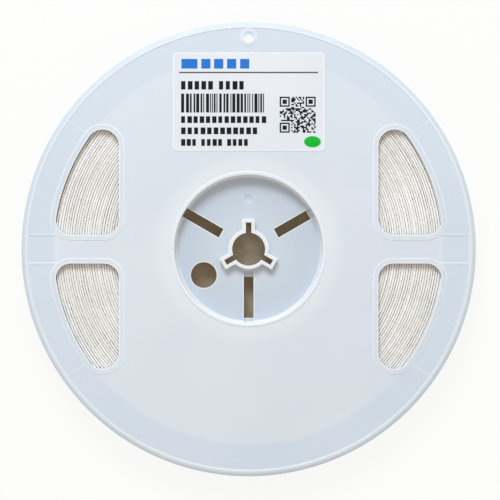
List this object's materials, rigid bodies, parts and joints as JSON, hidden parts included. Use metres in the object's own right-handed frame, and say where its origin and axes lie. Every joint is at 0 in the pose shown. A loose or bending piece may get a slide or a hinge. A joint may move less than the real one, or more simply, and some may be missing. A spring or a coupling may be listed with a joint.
{
  "type": "smd tape reel",
  "caption": "Flat plastic reel with windowed flanges, a slotted hub and a full roll of paper carrier tape, for feeding surface-mount parts to a placement machine.",
  "frame": {"origin": "on the spindle axis, at the lowest face of the reel", "axes": "+Z along the spindle axis towards the labelled front flange, +Y from the hub to the label and the rim hole, +X to the right when the front is looked at"},
  "size_m": [0.178, 0.178, 0.013],
  "materials": {
    "reel_plastic": "satin moulded polystyrene, bluish white",
    "carrier_tape": "cut paper edges",
    "adhesive_film": "clear yellowish film",
    "label_paper": "smooth coated label paper"
  },
  "bodies": {
    "root": {"front_reel_half": "reel_plastic", "rear_reel_half": "reel_plastic", "carrier_tape_roll": "carrier_tape", "loose_end_strip": "adhesive_film", "reel_label": "label_paper"}
  },
  "joints": []
}
